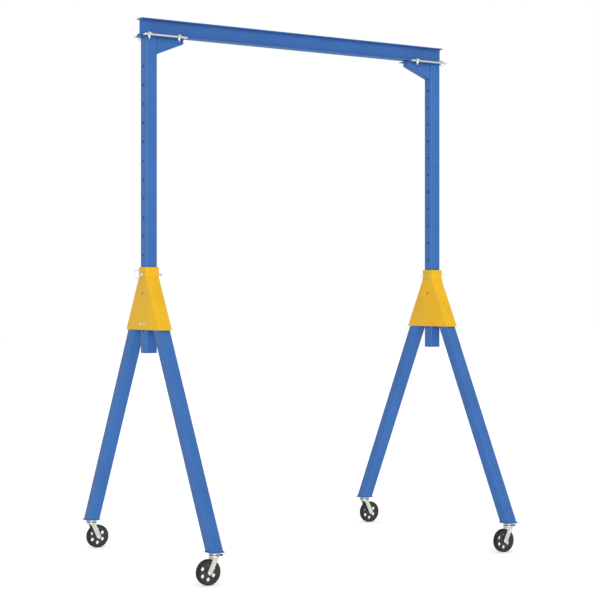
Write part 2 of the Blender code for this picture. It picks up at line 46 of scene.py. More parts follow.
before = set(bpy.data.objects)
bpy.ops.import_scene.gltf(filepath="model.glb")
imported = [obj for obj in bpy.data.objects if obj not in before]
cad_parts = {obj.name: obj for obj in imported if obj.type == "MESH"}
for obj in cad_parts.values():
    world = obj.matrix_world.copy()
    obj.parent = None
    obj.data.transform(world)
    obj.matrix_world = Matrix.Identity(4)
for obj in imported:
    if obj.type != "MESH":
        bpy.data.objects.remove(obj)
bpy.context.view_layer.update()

SIDES = ("left", "right")
CORNERS = tuple(side + row for side in SIDES for row in ("_near", "_far"))
CUT = 0.01  # how far a cutter runs past the surface that it cuts
FLATS = 0.0190  # across the flats of the half inch bolts and nuts
BOLT_BORE = 0.0066  # radius of the washers' bore on those bolts


def linear(hex_colour):
    """An sRGB hex value as a linear colour with alpha."""
    parts = [int(hex_colour[start:start + 2], 16) / 255 for start in (1, 3, 5)]
    turned = [part / 12.92 if part <= 0.04045 else ((part + 0.055) / 1.055) ** 2.4
              for part in parts]
    return (*turned, 1.0)


# ---------------------------------------------------------------- sizes read from the frame
def middle(node):
    low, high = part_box(node)
    return (low + high) / 2


BEAM_LOW, BEAM_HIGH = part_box("i_beam")
TUBE_HALF = (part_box("left_post")[1].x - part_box("left_post")[0].x) / 2
POST_X = middle("right_post").x
AXLE = middle("right_far_wheel")
TRAIL = AXLE.x - middle("right_far_kingpin").x
PIN_Z = middle("left_lock_pin").z


# ---------------------------------------------------------------- settings
def size(label, default, text):
    return FloatProperty(name=label, description=text, default=default, min=0.0, unit="LENGTH",
                         subtype="DISTANCE", precision=4)


def paint(label, hex_colour, text):
    return FloatVectorProperty(name=label, description=text, default=linear(hex_colour), size=4,
                               min=0.0, max=1.0, subtype="COLOR")


class GantryFinishes(bpy.types.PropertyGroup):
    """Colours of the crane's finishes."""
    blue: paint("Frame enamel", "#3365A7", "Sprayed enamel on beam, posts, arms and legs")
    yellow: paint("Shoe enamel", "#DFAD10", "Sprayed enamel on the shoes")
    zinc: paint("Zinc plating", "#E6E8E3", "Bright zinc on plates, pins, bolts and forks")
    core: paint("Wheel core", "#383B39", "Moulded nylon between hub and tread")
    tread: paint("Tread", "#141515", "Cast polyurethane tyre")
    seal: paint("Seals", "#121211", "Rubber seals and the black brake pedals")


class GantryBeam(bpy.types.PropertyGroup):
    """Rolled section and the bars that clamp it."""
    flange: size("Flange thickness", 0.0095, "Thickness of both flanges")
    web: size("Web thickness", 0.0065, "Thickness of the web")
    root_radius: size("Root radius", 0.0080, "Hollow between web and flange")
    toe_radius: size("Toe radius", 0.0022, "Rounding of the flange edges")
    bar_width: size("Clamp bar width", 0.0360, "Width of the zinc bars along the saddle plates")
    bar_overhang: size("Clamp bar overhang", 0.0100, "How far the bars pass the saddle plate")


class GantryTube(bpy.types.PropertyGroup):
    """Square tube of the posts and legs."""
    corner: size("Corner radius", 0.0127, "Outside radius of the tube's corners")
    wall: size("Wall", 0.00635, "Wall thickness")
    hole_radius: size("Pin hole radius", 0.0103, "Radius of the holes in the posts")
    hole_pitch: size("Hole pitch", 0.1524, "Distance from hole to hole")
    hole_count: IntProperty(name="Hole count", description="Holes in each face of a post",
                            default=15, min=1, max=40)
    top_hole: size("Top hole height", 4.0170, "Height of the highest hole")


class GantryShoe(bpy.types.PropertyGroup):
    """Folded sheet shoe."""
    sheet: size("Sheet thickness", 0.0050, "Thickness of the folded sheet")
    bend: size("Bend radius", 0.0065, "Outside radius of the folds")
    collar_half: size("Collar half width", 0.0688, "Half the collar's width across the beam")
    fold_height: size("Fold height", 2.3150, "Height at which the collar meets the skirt")
    set_bolt_height: size("Set bolt height", 1.9420, "Height of the two set bolts")
    set_bolt_offset: size("Set bolt offset", 0.0340, "Set bolts from the post's middle")


class GantryCaster(bpy.types.PropertyGroup):
    """Swivel caster."""
    ball: size("Ball radius", 0.0040, "Radius of the balls in the swivel race")
    ball_count: IntProperty(name="Balls", description="Balls in each race", default=24, min=3,
                            max=60)
    race: size("Race radius", 0.0390, "Radius of the circle of balls")
    strap_half: size("Fork strap half width", 0.0200, "Half the width of the fork's flat straps")
    hole_radius: size("Web hole radius", 0.0145, "Radius of the holes in the wheel")
    hole_circle: size("Web hole circle", 0.0550, "Distance of those holes from the axle")


SETTINGS = {"gantry_finishes": GantryFinishes, "gantry_beam": GantryBeam, "gantry_tube": GantryTube,
            "gantry_shoe": GantryShoe, "gantry_caster": GantryCaster}


# ---------------------------------------------------------------- node and material helpers
def feed(tree, node, links):
    """Sets inputs to values, or links them to sockets or to the first output of other nodes."""
    for key, value in links.items():
        if isinstance(value, bpy.types.Node):
            value = value.outputs[0]
        if isinstance(value, bpy.types.NodeSocket):
            tree.links.new(value, node.inputs[key])
        else:
            node.inputs[key].default_value = value


def add(tree, kind, links=None, **settings):
    """A node with its settings, and its inputs fed."""
    node = tree.nodes.new(kind)
    for name, value in settings.items():
        setattr(node, name, value)
    feed(tree, node, links or {})
    return node


def per_metre(millimetres):
    """Pattern scale whose features are about this wide."""
    return 1000.0 / millimetres


def start_material(name):
    material = bpy.data.materials.new(name)
    material.use_nodes = True
    tree = material.node_tree
    place = add(tree, "ShaderNodeTexCoord").outputs["Object"]
    return material, tree, tree.nodes["Principled BSDF"], place


def tinted(tree, colour, pattern, darker, lighter):
    """A colour that drifts between two brightnesses with a pattern."""
    drift = add(tree, "ShaderNodeValToRGB", {"Fac": pattern})
    for stop, position, gain in zip(drift.color_ramp.elements, (0.3, 0.7), (darker, lighter)):
        stop.position = position
        stop.color = (*[min(1.0, part * gain) for part in colour[:3]], 1.0)
    return drift


def sprayed_enamel(name, colour, roughness):
    """Alkyd enamel sprayed on steel: smooth and satin, with orange peel about 5 mm across, a film
    that is a little thicker in broad patches, and a dull bloom where hands and dust reach."""
    material, tree, shader, place = start_material(name)
    film = add(tree, "ShaderNodeTexNoise", {"Vector": place, "Scale": per_metre(260), "Detail": 4})
    speck = add(tree, "ShaderNodeTexNoise", {"Vector": place, "Scale": per_metre(18), "Detail": 5})
    peel = add(tree, "ShaderNodeTexNoise", {"Vector": place, "Scale": per_metre(5), "Detail": 1})
    mixed = add(tree, "ShaderNodeMix", {"Factor": 1.0, "A": tinted(tree, colour, film, 0.93, 1.06),
                                        "B": tinted(tree, (1.0, 1.0, 1.0), speck, 0.955, 1.0)},
                data_type="RGBA", blend_type="MULTIPLY")
    dull = add(tree, "ShaderNodeMapRange", {"Value": film, "From Min": 0.3, "From Max": 0.7,
                                            "To Min": roughness - 0.05, "To Max": roughness + 0.07})
    bump = add(tree, "ShaderNodeBump", {"Height": peel, "Strength": 0.12, "Distance": 0.0006})
    feed(tree, shader, {"Base Color": mixed.outputs[2], "Roughness": dull, "Normal": bump,
                        "IOR": 1.5, "Specular IOR Level": 0.30})
    return material


def bright_zinc(name, colour):
    """Electroplated zinc: a pale silver metal with the faint straw and blue drift of its
    passivation, spangled finely where the acid pickled the steel."""
    material, tree, shader, place = start_material(name)
    red, green, blue = colour[:3]
    drift = add(tree, "ShaderNodeTexNoise", {"Vector": place, "Scale": per_metre(45), "Detail": 3})
    grain = add(tree, "ShaderNodeTexNoise", {"Vector": place, "Scale": per_metre(2.5), "Detail": 3})
    film = add(tree, "ShaderNodeValToRGB", {"Fac": drift})
    straw, bluish = film.color_ramp.elements
    straw.position = 0.32
    straw.color = (red, green * 0.985, blue * 0.92, 1.0)
    bluish.position = 0.68
    bluish.color = (red * 0.95, green, blue, 1.0)
    rough = add(tree, "ShaderNodeMapRange", {"Value": grain, "From Min": 0.3, "From Max": 0.7,
                                             "To Min": 0.30, "To Max": 0.42})
    bump = add(tree, "ShaderNodeBump", {"Height": grain, "Strength": 0.08, "Distance": 0.0003})
    feed(tree, shader, {"Base Color": film, "Roughness": rough, "Normal": bump, "Metallic": 0.9})
    return material


def moulded_polymer(name, colour, roughness, grain_mm):
    """Moulded nylon or cast polyurethane: an even dark body with the fine matt grain of its
    mould, greyer where the floor has rubbed it."""
    material, tree, shader, place = start_material(name)
    scuff = add(tree, "ShaderNodeTexNoise", {"Vector": place, "Scale": per_metre(30), "Detail": 6})
    grain = add(tree, "ShaderNodeTexVoronoi", {"Vector": place, "Scale": per_metre(grain_mm)})
    bump = add(tree, "ShaderNodeBump", {"Height": grain, "Strength": 0.15, "Distance": 0.0003})
    feed(tree, shader, {"Base Color": tinted(tree, colour, scuff, 0.80, 1.25), "Normal": bump,
                        "Roughness": roughness, "IOR": 1.53, "Specular IOR Level": 0.25})
    return material


def greased_steel(name):
    """Hardened bearing balls packed in grease: a dark wet shine over grey steel."""
    material, tree, shader, place = start_material(name)
    grease = add(tree, "ShaderNodeTexNoise", {"Vector": place, "Scale": per_metre(6), "Detail": 2})
    rough = add(tree, "ShaderNodeMapRange", {"Value": grease, "To Min": 0.08, "To Max": 0.30})
    feed(tree, shader, {"Base Color": linear("#5A5955"), "Roughness": rough, "Metallic": 1.0})
    return material


MATERIALS = {}


def mix_materials():
    finishes = bpy.context.scene.gantry_finishes
    MATERIALS["blue"] = sprayed_enamel("blue_enamel_on_steel", finishes.blue, 0.42)
    MATERIALS["yellow"] = sprayed_enamel("yellow_enamel_on_sheet", finishes.yellow, 0.42)
    MATERIALS["zinc"] = bright_zinc("bright_zinc_plating", finishes.zinc)
    MATERIALS["core"] = moulded_polymer("moulded_glass_filled_nylon", finishes.core, 0.48, 1.2)
    MATERIALS["tread"] = moulded_polymer("cast_polyurethane", finishes.tread, 0.55, 2.0)
    MATERIALS["seal"] = moulded_polymer("nitrile_rubber_seal", finishes.seal, 0.60, 1.5)
    MATERIALS["balls"] = greased_steel("greased_steel_balls")


# ---------------------------------------------------------------- mesh helpers
def plain_mesh(name, shape):
    mesh = bpy.data.meshes.new(name)
    shape.to_mesh(mesh)
    shape.free()
    return mesh


def clean_mesh(name, shape):
    bmesh.ops.remove_doubles(shape, verts=shape.verts, dist=0.000002)
    bmesh.ops.recalc_face_normals(shape, faces=shape.faces)
    return plain_mesh(name, shape)


def loft(name, rings, closed=False):
    """Skin over rings of points. Open ends are capped, or the last ring joins the first."""
    shape = bmesh.new()
    rows = [[shape.verts.new(point) for point in ring] for ring in rings]
    count = len(rows[0])
    pairs = list(zip(rows, rows[1:]))
    if closed:
        pairs.append((rows[-1], rows[0]))
    for lower, upper in pairs:
        for index in range(count):
            following = (index + 1) % count
            shape.faces.new((lower[index], lower[following], upper[following], upper[index]))
    if not closed:
        shape.faces.new(rows[0])
        shape.faces.new(rows[-1])
    return clean_mesh(name, shape)


def prism(name, outline, start, end, axis):
    """Outline extruded along X, Y or Z. Its points are the other two axes, in order."""
    places = {"X": lambda a, b, t: (t, a, b), "Y": lambda a, b, t: (a, t, b),
              "Z": lambda a, b, t: (a, b, t)}
    return loft(name, [[places[axis](a, b, t) for a, b in outline] for t in (start, end)])


def lathe(name, profile, sides, lying=False):
    """Closed profile of (radius, height) turned about Z, or about Y when lying."""
    rings = []
    for step in range(sides):
        angle = 2 * math.pi * step / sides
        rings.append([(radius * math.cos(angle), radius * math.sin(angle), height)
                      for radius, height in profile])
    mesh = loft(name, rings, closed=True)
    if lying:
        mesh.transform(Matrix.Rotation(-math.pi / 2, 4, "X"))
    return mesh


def solid_lathe(name, profile, sides):
    """A turned solid with no bore: the profile starts and ends on the Z axis."""
    shape = bmesh.new()
    angles = [2 * math.pi * step / sides for step in range(sides)]
    rings = [[shape.verts.new((radius * math.cos(a), radius * math.sin(a), height))
              for a in (angles if radius else angles[:1])] for radius, height in profile]
    for lower, upper in zip(rings, rings[1:]):
        for index in range(sides):
            following = (index + 1) % sides
            if len(lower) == 1:
                shape.faces.new((lower[0], upper[following], upper[index]))
            elif len(upper) == 1:
                shape.faces.new((lower[index], lower[following], upper[0]))
            else:
                shape.faces.new((lower[index], lower[following], upper[following], upper[index]))
    return clean_mesh(name, shape)


def arc(centre, radius, start, end, steps):
    """Points along an arc, angles in degrees."""
    angles = [math.radians(start + (end - start) * step / steps) for step in range(steps + 1)]
    return [(centre[0] + radius * math.cos(a), centre[1] + radius * math.sin(a)) for a in angles]


def shifted(outline, centre):
    return [(centre[0] + a, centre[1] + b) for a, b in outline]


def rounded(half_a, half_b, radius, steps=6, centre=(0.0, 0.0)):
    """Anticlockwise rectangle with round corners."""
    points = []
    for sign_a, sign_b, start in ((1, 1, 0), (-1, 1, 90), (-1, -1, 180), (1, -1, 270)):
        corner = (sign_a * (half_a - radius), sign_b * (half_b - radius))
        points += arc(corner, radius, start, start + 90, steps)
    return shifted(points, centre)


def gather(name, meshes):
    """Several meshes as one."""
    shape = bmesh.new()
    for mesh in meshes:
        shape.from_mesh(mesh)
    return plain_mesh(name, shape)


def wires(name, paths):
    """Mesh of loose edges along lists of points. A list of one point stays a point."""
    shape = bmesh.new()
    for path in paths:
        points = [shape.verts.new(point) for point in path]
        for start, end in zip(points, points[1:]):
            shape.edges.new((start, end))
    return plain_mesh(name, shape)


def moved(mesh, matrix):
    twin = mesh.copy()
    twin.transform(matrix)
    return twin


def placed(name, mesh):
    thing = bpy.data.objects.new(name, mesh)
    bpy.context.scene.collection.objects.link(thing)
    return thing


def evaluated(thing):
    bpy.context.view_layer.update()
    graph = bpy.context.evaluated_depsgraph_get()
    return bpy.data.meshes.new_from_object(thing.evaluated_get(graph), depsgraph=graph)


def drilled(mesh, cutters):
    """Mesh with closed cutter meshes taken out of it."""
    target = placed("target", mesh)
    tool = placed("tool", gather("tool", cutters))
    modifier = target.modifiers.new("drill", "BOOLEAN")
    modifier.operation = "DIFFERENCE"
    modifier.solver = "EXACT"
    modifier.object = tool
    result = evaluated(target)
    for thing in (target, tool):
        bpy.data.objects.remove(thing)
    return result


def cylinder(radius, start, end, axis, centre=(0.0, 0.0), sides=32):
    """Closed cylinder; centre is its place on the other two axes, in order."""
    outline = shifted(arc((0.0, 0.0), radius, 0, 360, sides)[:-1], centre)
    return prism("cylinder", outline, start, end, axis)


def show(name, mesh, finish, body, replaces=(), bevel=0.0, smooth=35):
    """One finished piece, riding on its body."""
    piece = placed(name, mesh)
    mesh.shade_smooth()
    mesh.set_sharp_from_angle(angle=math.radians(smooth))
    mesh.materials.clear()
    mesh.materials.append(MATERIALS[finish])
    if bevel:
        edge = piece.modifiers.new("eased_edges", "BEVEL")
        edge.width = bevel
        edge.segments = 2
        edge.limit_method = "ANGLE"
        edge.angle_limit = math.radians(40)
        edge.harden_normals = True
    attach(piece, body)
    if replaces:
        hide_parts(*replaces)
    return piece


# ---------------------------------------------------------------- geometry node helpers
def new_tree(name, inputs):
    """A geometry node tree with named inputs, (name, socket type, default), and a material."""
    tree = bpy.data.node_groups.new(name, "GeometryNodeTree")
    for label, kind, value in (*inputs, ("Material", "Material", None)):
        socket = tree.interface.new_socket(name=label, in_out="INPUT",
                                           socket_type="NodeSocket" + kind)
        if value is not None:
            socket.default_value = value
    tree.interface.new_socket(name="Geometry", in_out="OUTPUT",
                              socket_type="NodeSocketGeometry")
    return tree, add(tree, "NodeGroupInput").outputs


def end_tree(tree, geometry, material):
    """Realize Instances and Set Material close every tree."""
    real = add(tree, "GeometryNodeRealizeInstances", {"Geometry": geometry})
    made = add(tree, "GeometryNodeSetMaterial", {"Geometry": real, "Material": material})
    add(tree, "NodeGroupOutput", {"Geometry": made})
    return tree


def grown(name, tree, values, seed=None):
    """Runs a tree on a mesh and returns the result as a plain mesh."""
    holder = placed(name, seed or bpy.data.meshes.new(name))
    modifier = holder.modifiers.new(tree.name, "NODES")
    modifier.node_group = tree
    for item in tree.interface.items_tree:
        if item.item_type == "SOCKET" and item.in_out == "INPUT" and item.name in values:
            modifier[item.identifier] = values[item.name]
    mesh = evaluated(holder)
    bpy.data.objects.remove(holder)
    return mesh


def perforated_tube_tree():
    """Square tube with round corners, drilled through at an even pitch."""
    tree, given = new_tree("perforated_tube", (
        ("Width", "Float", 0.1016), ("Corner Radius", "Float", 0.0127), ("Wall", "Float", 0.00635),
        ("Length", "Float", 2.5), ("Hole Radius", "Float", 0.0103), ("Hole Pitch", "Float", 0.1524),
        ("Hole Count", "Int", 15), ("First Hole", "Float", 2.3)))
    skins = []
    twice = add(tree, "ShaderNodeMath", {0: given["Wall"], 1: 2.0}, operation="MULTIPLY")
    inner_width = add(tree, "ShaderNodeMath", {0: given["Width"], 1: twice}, operation="SUBTRACT")
    inner_radius = add(tree, "ShaderNodeMath", {0: given["Corner Radius"], 1: given["Wall"]},
                       operation="SUBTRACT")
    for width, radius, margin in ((given["Width"], given["Corner Radius"], 0.0),
                                  (inner_width, inner_radius, 0.05)):
        square = add(tree, "GeometryNodeCurvePrimitiveQuadrilateral",
                     {"Width": width, "Height": width})
        fillet = add(tree, "GeometryNodeFilletCurve",
                     {"Curve": square, "Radius": radius, "Count": 6}, mode="POLY")
        rail_end = add(tree, "ShaderNodeMath", {0: given["Length"], 1: margin}, operation="ADD")
        top = add(tree, "ShaderNodeCombineXYZ", {"Z": rail_end})
        rail = add(tree, "GeometryNodeCurvePrimitiveLine",
                   {"Start": (0.0, 0.0, -margin), "End": top})
        skins.append(add(tree, "GeometryNodeCurveToMesh",
                         {"Curve": rail, "Profile Curve": fillet, "Fill Caps": True}))
    drop = add(tree, "ShaderNodeMath", {0: given["Hole Pitch"], 1: -1.0}, operation="MULTIPLY")
    step = add(tree, "ShaderNodeCombineXYZ", {"Z": drop})
    first = add(tree, "ShaderNodeCombineXYZ", {"Z": given["First Hole"]})
    ladder = add(tree, "GeometryNodeMeshLine",
                 {"Count": given["Hole Count"], "Start Location": first, "Offset": step})
    bit = add(tree, "GeometryNodeMeshCylinder",
              {"Vertices": 28, "Radius": given["Hole Radius"], "Depth": 0.3})
    holes = add(tree, "GeometryNodeInstanceOnPoints",
                {"Points": ladder, "Instance": bit, "Rotation": (0.0, math.pi / 2, 0.0)})
    solid_holes = add(tree, "GeometryNodeRealizeInstances", {"Geometry": holes})
    hollow = add(tree, "GeometryNodeMeshBoolean", {"Mesh 1": skins[0], "Mesh 2": skins[1]},
                 operation="DIFFERENCE", solver="EXACT")
    drilled_tube = add(tree, "GeometryNodeMeshBoolean", {"Mesh 1": hollow, "Mesh 2": solid_holes},
                       operation="DIFFERENCE", solver="EXACT")
    return end_tree(tree, drilled_tube, given["Material"])


def weld_bead_tree():
    """Overlapping dabs of weld metal along the edges of a mesh."""
    tree, given = new_tree("weld_bead", (
        ("Geometry", "Geometry", None), ("Throat", "Float", 0.004), ("Step", "Float", 0.0035),
        ("Seed", "Int", 7)))
    path = add(tree, "GeometryNodeMeshToCurve", {"Mesh": given["Geometry"]})
    even = add(tree, "GeometryNodeResampleCurve", {"Curve": path, "Length": given["Step"]},
               mode="LENGTH")
    dab = add(tree, "GeometryNodeMeshIcoSphere", {"Radius": given["Throat"], "Subdivisions": 2})
    shaded = add(tree, "GeometryNodeSetShadeSmooth", {"Geometry": dab})
    tangent = add(tree, "GeometryNodeInputTangent")
    turn = add(tree, "FunctionNodeAlignRotationToVector", {"Vector": tangent}, axis="X")
    wobble = add(tree, "FunctionNodeRandomValue",
                 {"Min": (0.45, 0.85, 0.85), "Max": (0.60, 1.12, 1.12), "Seed": given["Seed"]},
                 data_type="FLOAT_VECTOR")
    dabs = add(tree, "GeometryNodeInstanceOnPoints",
               {"Points": even, "Instance": shaded, "Rotation": turn, "Scale": wobble})
    return end_tree(tree, dabs, given["Material"])


def ball_row_tree():
    """Balls spaced evenly round a race."""
    tree, given = new_tree("ball_row", (
        ("Race Radius", "Float", 0.0390), ("Ball Radius", "Float", 0.004), ("Balls", "Int", 24)))
    circle = add(tree, "GeometryNodeMeshCircle",
                 {"Vertices": given["Balls"], "Radius": given["Race Radius"]})
    ball = add(tree, "GeometryNodeMeshUVSphere",
               {"Segments": 14, "Rings": 9, "Radius": given["Ball Radius"]})
    shaded = add(tree, "GeometryNodeSetShadeSmooth", {"Geometry": ball})
    row = add(tree, "GeometryNodeInstanceOnPoints", {"Points": circle, "Instance": shaded})
    return end_tree(tree, row, given["Material"])


def fastener_tree():
    """The same fastener on every point of a mesh."""
    tree, given = new_tree("fastener_set", (
        ("Geometry", "Geometry", None), ("Fastener", "Object", None)))
    pattern = add(tree, "GeometryNodeObjectInfo", {"Object": given["Fastener"]})
    row = add(tree, "GeometryNodeInstanceOnPoints",
              {"Points": given["Geometry"], "Instance": pattern.outputs["Geometry"]})
    return end_tree(tree, row, given["Material"])


def fasteners(name, pattern_mesh, points, finish):
    """One mesh with the pattern at each point."""
    pattern = placed("pattern", pattern_mesh)
    tree = bpy.data.node_groups.get("fastener_set") or fastener_tree()
    mesh = grown(name, tree, {"Fastener": pattern, "Material": MATERIALS[finish]},
                 wires(name, [[point] for point in points]))
    bpy.data.objects.remove(pattern)
    return mesh


def weld(name, paths, throat, finish="blue"):
    """Weld metal along lists of points, as a mesh."""
    tree = bpy.data.node_groups.get("weld_bead") or weld_bead_tree()
    values = {"Throat": throat, "Step": throat * 0.9, "Material": MATERIALS[finish]}
    return grown(name, tree, values, wires(name, paths))


# ---------------------------------------------------------------- fastener patterns
def hex_prism(across_flats, start, end):
    """Chamfered hexagon about Z, for heads and nuts."""
    corner = across_flats / math.sqrt(3)
    chamfer = (corner - across_flats / 2) * 0.9
    rings = []
    for inset, height in ((chamfer, start), (0.0, start + chamfer * 0.5),
                          (0.0, end - chamfer * 0.5), (chamfer, end)):
        ring = []
        for step in range(24):
            angle = math.radians(15 * step)
            flat = across_flats / 2 / math.cos((angle + math.pi / 6) % (math.pi / 3) - math.pi / 6)
            reach = min(flat, corner - inset)
            ring.append((reach * math.cos(angle), reach * math.sin(angle), height))
        rings.append(ring)
    return loft("hexagon", rings)


def thread(radius, start, end, pitch=0.0020):
    """Threaded shank about Z, drawn coarser than a real 1.95 mm pitch so that it shows."""
    core = radius - 0.0007
    profile = [(0.0, start), (core, start)]
    for turn in range(int((end - start) / pitch)):
        foot = start + turn * pitch
        profile += [(core, foot + 0.15 * pitch), (radius, foot + 0.5 * pitch),
                    (radius, foot + 0.6 * pitch), (core, foot + 0.95 * pitch)]
    return solid_lathe("thread", [*profile, (core, end), (0.0, end)], 16)


def rod(radius, start, end, sides):
    return solid_lathe("rod", [(0.0, start), (radius, start), (radius, end), (0.0, end)], sides)


def washer(bore, rim, start, end):
    edge = 0.0003
    profile = [(bore, start), (rim - edge, start), (rim, start + edge), (rim, end - edge),
               (rim - edge, end), (bore, end)]
    return lathe("washer", profile, 32)


# ---------------------------------------------------------------- beam
class GANTRY_OT_beam(bpy.types.Operator):
    """Rolled I-section with round roots and eased flange toes"""
    bl_idname = "gantry.beam"
    bl_label = "I-Beam"

    def execute(self, context):
        sizes = context.scene.gantry_beam
        half_y = (BEAM_HIGH.y - BEAM_LOW.y) / 2
        half_z = (BEAM_HIGH.z - BEAM_LOW.z) / 2
        centre_z = (BEAM_HIGH.z + BEAM_LOW.z) / 2
        inner = half_z - sizes.flange
        toe = sizes.toe_radius
        root = (sizes.web / 2 + sizes.root_radius, inner - sizes.root_radius)
        quarter = [*arc(root, sizes.root_radius, 180, 90, 6),
                   *arc((half_y - toe, inner + toe), toe, 270, 360, 3),
                   *arc((half_y - toe, half_z - toe), toe, 0, 90, 3)]
        outline = []
        for sign_y, sign_z in ((1, 1), (-1, 1), (-1, -1), (1, -1)):
            points = [(sign_y * y, centre_z + sign_z * z) for y, z in quarter]
            outline += points if sign_y * sign_z > 0 else points[::-1]
        mesh = prism("i_section", outline, BEAM_LOW.x, BEAM_HIGH.x, "X")
        show("beam", mesh, "blue", "upper_frame", ["i_beam"], bevel=0.0006)
        return {"FINISHED"}


# ---------------------------------------------------------------- posts and arms
class GANTRY_OT_posts(bpy.types.Operator):
    """Square tube uprights with a ladder of pin holes"""
    bl_idname = "gantry.posts"
    bl_label = "Posts"

    def execute(self, context):
        sizes = context.scene.gantry_tube
        tree = perforated_tube_tree()
        for side in SIDES:
            low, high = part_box(side + "_post")
            centre = (low + high) / 2
            mesh = grown(side + "_upright", tree, {
                "Width": 2 * TUBE_HALF, "Corner Radius": sizes.corner, "Wall": sizes.wall,
                "Length": high.z - low.z, "Hole Radius": sizes.hole_radius,
                "Hole Pitch": sizes.hole_pitch, "Hole Count": sizes.hole_count,
                "First Hole": sizes.top_hole - low.z, "Material": MATERIALS["blue"]})
            mesh.transform(Matrix.Translation((centre.x, centre.y, low.z)))
            show(side + "_upright", mesh, "blue", "upper_frame", [side + "_post"], bevel=0.0008)
        return {"FINISHED"}


class GANTRY_OT_arms(bpy.types.Operator):
    """Box-section knees beside the posts, with their welds"""
    bl_idname = "gantry.arms"
    bl_label = "Bracket Arms"

    def execute(self, context):
        fold, ease = 0.004, 0.0012  # how far the long edges are rounded, and where that begins
        proud = 0.0010  # middle of the weld metal beyond the arm's faces
        for side in SIDES:
            low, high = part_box(side + "_bracket_arm")
            inward = 1 if side == "left" else -1
            root_x, toe_x = (low.x, high.x) if inward > 0 else (high.x, low.x)
            toe_z = arm_toe_height()
            half = (high.y - low.y) / 2
            rings = []
            for y, inset in ((-half, fold), (-half + ease, ease), (-half + fold, 0.0),
                             (half - fold, 0.0), (half - ease, ease), (half, fold)):
                rings.append([(root_x, y, low.z + inset * 1.1),
                              (toe_x - inward * inset, y, toe_z + inset * 0.7),
                              (toe_x - inward * inset, y, high.z), (root_x, y, high.z)])
            show(side + "_knee", loft("knee", rings), "blue", "upper_frame",
                 [side + "_bracket_arm"], bevel=0.0005)
            seam_x = root_x - inward * 0.0002
            top_z = high.z - 0.0015
            seams = []
            for sign in (-1, 1):
                edge = sign * (half + proud)
                seams.append([(seam_x, edge, low.z + fold), (seam_x, edge, high.z - 0.002)])
                seams.append([(x, edge - sign * proud, top_z) for x in (root_x, toe_x)])
            seams.append([(seam_x, y, low.z - 0.0008) for y in (-half + fold, half - fold)])
            show(side + "_knee_welds", weld("knee_welds", seams, 0.0034), "blue", "upper_frame")
        return {"FINISHED"}


def arm_toe_height():
    """Underside of an arm at its toe: the lowest point of the toe's face in the frame."""
    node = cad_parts["left_bracket_arm"]
    toe_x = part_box("left_bracket_arm")[1].x
    return min(point.co.z for point in node.data.vertices if abs(point.co.x - toe_x) < 0.0005)


class GANTRY_OT_saddles(bpy.types.Operator):
    """Blue saddle plates between zinc bars, with the cleats and bolts that clamp the beam"""
    bl_idname = "gantry.saddles"
    bl_label = "Saddle Plates and Clamps"

    def execute(self, context):
        sizes = context.scene.gantry_beam
        corner = 0.003  # radius at the corners of the plates and bars
        bar = sizes.bar_width / 2
        for side in SIDES:
            low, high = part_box(side + "_saddle_plate")
            centre = (low + high) / 2
            half_x = (high.x - low.x) / 2
            half_y = (high.y - low.y) / 2
            outline = rounded(half_x - sizes.bar_overhang, half_y - 2 * bar, corner, 3, centre)
            plate = prism("saddle", outline, low.z, high.z, "Z")
            bars = []
            for sign in (-1, 1):
                outline = rounded(half_x, bar, corner, 3,
                                  (centre.x, centre.y + sign * (half_y - bar)))
                bars.append(prism("clamp_bar", outline, low.z, high.z, "Z"))
            stems = [side + "_" + order + "_" + row for order in ("inner", "outer")
                     for row in ("near", "far")]
            spots = [middle(stem + "_clamp_bolt") for stem in stems]
            bits = [self.bit(spot, low, high) for spot in spots]
            show(side + "_saddle", plate, "blue", "upper_frame", [side + "_saddle_plate"],
                 bevel=0.0006)
            show(side + "_clamp_bars", drilled(gather("bars", bars), bits), "zinc", "upper_frame",
                 bevel=0.0009)
            for stem, spot in zip(stems, spots):
                self.cleat(stem, spot)
            bolt_low, bolt_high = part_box(stems[0] + "_clamp_bolt")
            bolt = clamp_bolt(bolt_low.z, bolt_high.z, low.z)
            mesh = fasteners("clamp_bolts", bolt, [(spot.x, spot.y, 0.0) for spot in spots], "zinc")
            show(side + "_clamp_bolts", mesh, "zinc", "upper_frame",
                 [stem + "_clamp_bolt" for stem in stems])
        return {"FINISHED"}

    def bit(self, spot, low, high):
        """Cutter for a clamp bolt's clearance hole."""
        hole_radius = 0.0068
        return cylinder(hole_radius, low.z - CUT, high.z + CUT, "Z", (spot.x, spot.y))

    def cleat(self, stem, spot):
        """Forged clamp finger: heel on the plate, toe on the flange."""
        low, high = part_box(stem + "_cleat")
        away = 1 if spot.y > 0 else -1
        heel = max(abs(low.y), abs(high.y))
        toe = min(abs(low.y), abs(high.y))
        flange = BEAM_HIGH.y
        heel_top = low.z + 0.0090
        toe_bottom = high.z - 0.0100
        toe_top = toe_bottom + 0.0045
        heel_round, toe_round = 0.003, 0.002
        gap = 0.001  # between the finger's step and the flange's edge
        outline = [(heel, low.z),
                   *arc((heel - heel_round, heel_top - heel_round), heel_round, 0, 90, 3),
                   (flange + 0.012, heel_top), (flange + 0.004, toe_top),
                   *arc((toe + toe_round, toe_top - toe_round), toe_round, 90, 180, 3),
                   (toe, toe_bottom), (flange + gap, toe_bottom), (flange + gap, low.z)]
        outline = [(away * y, z) for y, z in outline]
        body = prism("cleat", outline, low.x + 0.0025, high.x - 0.0025, "X")
        show(stem + "_clamp_finger", drilled(body, [self.bit(spot, low, high)]), "zinc",
             "upper_frame", [stem + "_cleat"], bevel=0.0008)


